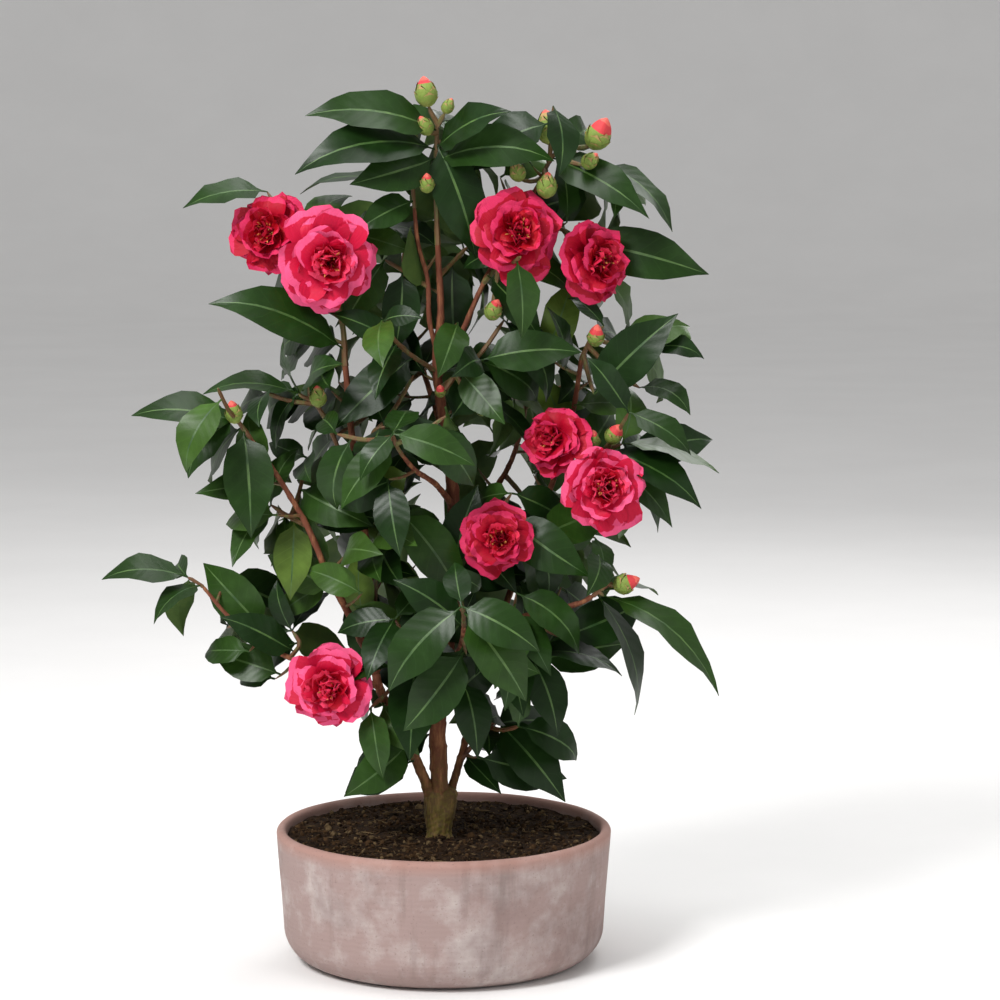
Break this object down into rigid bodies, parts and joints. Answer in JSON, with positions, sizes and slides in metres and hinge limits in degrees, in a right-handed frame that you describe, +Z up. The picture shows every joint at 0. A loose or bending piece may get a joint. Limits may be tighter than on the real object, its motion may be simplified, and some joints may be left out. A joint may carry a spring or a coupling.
{
  "type": "camellia shrub in its planter",
  "caption": "Young camellia shrub in full bloom, open and upright, with glossy dark leaves and crimson-pink flowers, planted in a low round terracotta bowl.",
  "frame": {"origin": "middle of the bowl's flat underside", "axes": "+Z up, -Y towards the front of the plant, +X to its right as seen from the front"},
  "size_m": [0.612, 0.386, 0.8863],
  "materials": {
    "terracotta": "weathered, matt, blotched whitish grey",
    "compost": "loose, crumbly, matt",
    "old_bark": "fissured, mossy ochre brown",
    "young_bark": "smooth reddish brown",
    "foliage": "glossy leaf green"
  },
  "bodies": {
    "root": {"planter": "terracotta", "soil": "compost", "trunk": "old_bark", "centre_stem": "young_bark", "left_stem": "young_bark", "right_stem": "young_bark", "leader_twin": "young_bark", "left_outer_bough": "young_bark", "lower_left_bough": "young_bark", "right_low_bough": "young_bark", "right_upper_bough": "young_bark", "back_low_bough": "young_bark", "back_right_bough": "young_bark", "back_high_bough": "young_bark", "front_low_bough": "young_bark", "front_mid_bough": "young_bark", "top_foliage": "foliage", "twin_foliage": "foliage", "upper_left_foliage": "foliage", "leader_left_foliage": "foliage", "leader_right_foliage": "foliage", "right_crown_foliage": "foliage", "right_bloom_foliage": "foliage", "far_right_bloom_foliage": "foliage", "right_shoulder_foliage": "foliage", "right_foliage": "foliage", "centre_upper_right_foliage": "foliage", "centre_upper_left_foliage": "foliage", "left_shoulder_foliage": "foliage", "left_foliage": "foliage", "left_inner_foliage": "foliage", "centre_left_foliage": "foliage", "centre_foliage": "foliage", "centre_right_foliage": "foliage", "lower_left_tip_foliage": "foliage", "lower_left_foliage": "foliage", "low_left_bloom_foliage": "foliage", "lower_centre_foliage": "foliage", "lower_right_foliage": "foliage", "low_right_foliage": "foliage", "skirt_left_foliage": "foliage", "skirt_right_foliage": "foliage", "back_low_foliage": "foliage", "back_low_right_foliage": "foliage", "back_right_foliage": "foliage", "back_right_low_foliage": "foliage", "back_high_foliage": "foliage", "back_left_foliage": "foliage", "front_low_foliage": "foliage", "front_mid_foliage": "foliage"}
  },
  "joints": []
}
